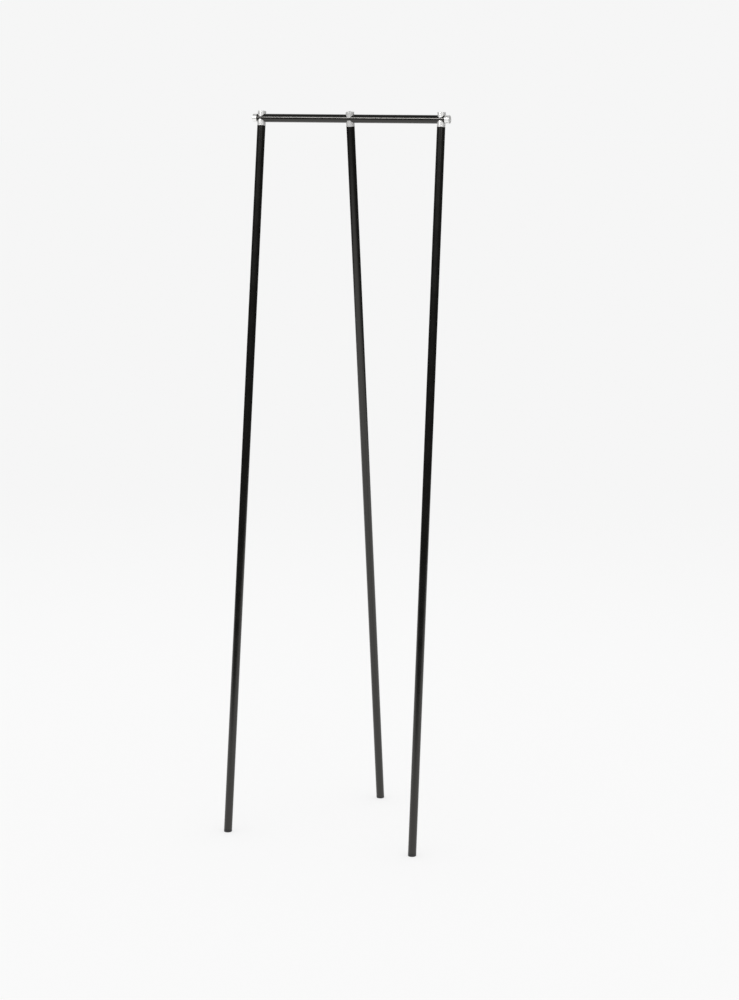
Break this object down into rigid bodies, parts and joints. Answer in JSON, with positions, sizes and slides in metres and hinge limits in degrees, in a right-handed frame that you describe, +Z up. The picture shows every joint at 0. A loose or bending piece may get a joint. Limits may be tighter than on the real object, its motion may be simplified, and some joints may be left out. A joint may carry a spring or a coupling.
{
  "type": "tripod stand",
  "caption": "Tall tripod stand: a short round top rail clamped between polished coped saddles on slender tube legs that swing upright for storage.",
  "frame": {"origin": "on the floor, straight below the middle of the rail, at the centre of the footprint", "axes": "+Z up, +X along the rail towards the right leg, -Y towards the feet of the two outer legs, +Y towards the middle foot"},
  "size_m": [0.4822, 0.4008, 1.6669],
  "materials": {
    "satin_black": "satin black powder coat",
    "polished_metal": "polished, turned",
    "screw_steel": "zinc plated",
    "bare_aluminium": "as turned",
    "foot_plastic": "matt moulded"
  },
  "bodies": {
    "rail": {"rail_tube": "satin_black", "left_end_cap": "polished_metal", "left_end_screw": "screw_steel", "right_end_cap": "polished_metal", "right_end_screw": "screw_steel", "left_rail_core": "bare_aluminium", "middle_rail_core": "bare_aluminium", "right_rail_core": "bare_aluminium"},
    "left_leg": {"left_saddle_cap": "polished_metal", "left_collar": "polished_metal", "left_washer": "screw_steel", "left_leg_insert": "bare_aluminium", "left_leg_tube": "satin_black", "left_foot_plug": "foot_plastic"},
    "middle_leg": {"middle_saddle_cap": "polished_metal", "middle_collar": "polished_metal", "middle_washer": "screw_steel", "middle_leg_insert": "bare_aluminium", "middle_leg_tube": "satin_black", "middle_foot_plug": "foot_plastic"},
    "right_leg": {"right_saddle_cap": "polished_metal", "right_collar": "polished_metal", "right_washer": "screw_steel", "right_leg_insert": "bare_aluminium", "right_leg_tube": "satin_black", "right_foot_plug": "foot_plastic"},
    "left_tie_screw": {"left_tie_screw": "screw_steel"},
    "middle_tie_screw": {"middle_tie_screw": "screw_steel"},
    "right_tie_screw": {"right_tie_screw": "screw_steel"}
  },
  "joints": [
    {"name": "left_leg_swing", "type": "hinge", "parent": "rail", "child": "left_leg", "pos_m": [-0.22, 0, 1.65], "axis": [1, 0, 0], "range_deg": [0, 6.6]},
    {"name": "middle_leg_swing", "type": "hinge", "parent": "rail", "child": "middle_leg", "pos_m": [0, 0, 1.65], "axis": [-1, 0, 0], "range_deg": [0, 6.6]},
    {"name": "right_leg_swing", "type": "hinge", "parent": "rail", "child": "right_leg", "pos_m": [0.22, 0, 1.65], "axis": [1, 0, 0], "range_deg": [0, 6.6]},
    {"name": "left_tie_screw_turn", "type": "hinge", "parent": "left_leg", "child": "left_tie_screw", "pos_m": [-0.22, 0, 1.65], "axis": [0.007, 0.1149, 0.9933], "range_deg": [0, 180]},
    {"name": "middle_tie_screw_turn", "type": "hinge", "parent": "middle_leg", "child": "middle_tie_screw", "pos_m": [0, 0, 1.65], "axis": [0, -0.1149, 0.9934], "range_deg": [0, 180]},
    {"name": "right_tie_screw_turn", "type": "hinge", "parent": "right_leg", "child": "right_tie_screw", "pos_m": [0.22, 0, 1.65], "axis": [-0.007, 0.1149, 0.9933], "range_deg": [0, 180]}
  ]
}
